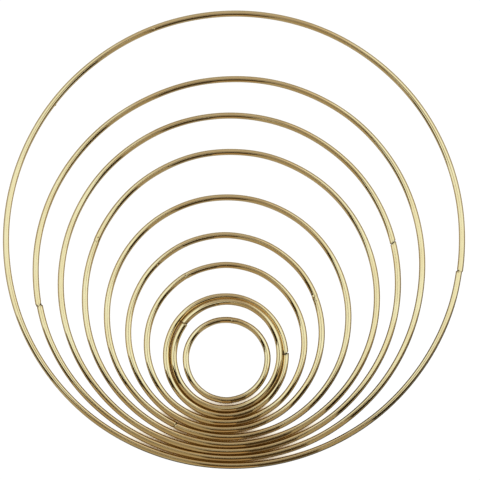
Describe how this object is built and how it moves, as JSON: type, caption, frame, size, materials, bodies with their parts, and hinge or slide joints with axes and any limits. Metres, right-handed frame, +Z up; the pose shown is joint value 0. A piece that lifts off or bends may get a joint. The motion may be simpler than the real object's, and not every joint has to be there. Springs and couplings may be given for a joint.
{
  "type": "wreath frame hoop set",
  "caption": "Nested set of plain round-wire hoops in graded sizes, each butt-welded and brass-plated, lying flat one inside the other; for wreaths and wrapped floral rings.",
  "frame": {"origin": "centre of the largest hoop, on the table that the set lies on", "axes": "+Z up, square to the plane of the hoops; +Y away from the side where the hoops lie together; +X to the right"},
  "size_m": [0.1908, 0.1892, 0.0046],
  "materials": {
    "plated_wire": "gloss",
    "plated_weld": "satin"
  },
  "bodies": {
    "hoop_01": {"hoop_01_wire": "plated_wire", "hoop_01_weld": "plated_weld"},
    "hoop_02": {"hoop_02_wire": "plated_wire", "hoop_02_weld": "plated_weld"},
    "hoop_03": {"hoop_03_wire": "plated_wire", "hoop_03_weld": "plated_weld"},
    "hoop_04": {"hoop_04_wire": "plated_wire", "hoop_04_weld": "plated_weld"},
    "hoop_05": {"hoop_05_wire": "plated_wire", "hoop_05_weld": "plated_weld"},
    "hoop_06": {"hoop_06_wire": "plated_wire", "hoop_06_weld": "plated_weld"},
    "hoop_07": {"hoop_07_wire": "plated_wire", "hoop_07_weld": "plated_weld"},
    "hoop_08": {"hoop_08_wire": "plated_wire", "hoop_08_weld": "plated_weld"},
    "hoop_09": {"hoop_09_wire": "plated_wire", "hoop_09_weld": "plated_weld"},
    "hoop_10": {"hoop_10_wire": "plated_wire", "hoop_10_weld": "plated_weld"}
  },
  "joints": [
    {"name": "hoop_02_lift", "type": "slide", "parent": "hoop_01", "child": "hoop_02", "axis": [0, 0, 1], "range_m": [0, 0.06]},
    {"name": "hoop_03_lift", "type": "slide", "parent": "hoop_01", "child": "hoop_03", "axis": [0, 0, 1], "range_m": [0, 0.06]},
    {"name": "hoop_04_lift", "type": "slide", "parent": "hoop_01", "child": "hoop_04", "axis": [0, 0, 1], "range_m": [0, 0.06]},
    {"name": "hoop_05_lift", "type": "slide", "parent": "hoop_01", "child": "hoop_05", "axis": [0, 0, 1], "range_m": [0, 0.06]},
    {"name": "hoop_06_lift", "type": "slide", "parent": "hoop_01", "child": "hoop_06", "axis": [0, 0, 1], "range_m": [0, 0.06]},
    {"name": "hoop_07_lift", "type": "slide", "parent": "hoop_01", "child": "hoop_07", "axis": [0, 0, 1], "range_m": [0, 0.06]},
    {"name": "hoop_08_lift", "type": "slide", "parent": "hoop_01", "child": "hoop_08", "axis": [0, 0, 1], "range_m": [0, 0.06]},
    {"name": "hoop_09_lift", "type": "slide", "parent": "hoop_08", "child": "hoop_09", "axis": [0, 0, 1], "range_m": [0, 0.06]},
    {"name": "hoop_10_lift", "type": "slide", "parent": "hoop_01", "child": "hoop_10", "axis": [0, 0, 1], "range_m": [0, 0.06]}
  ]
}
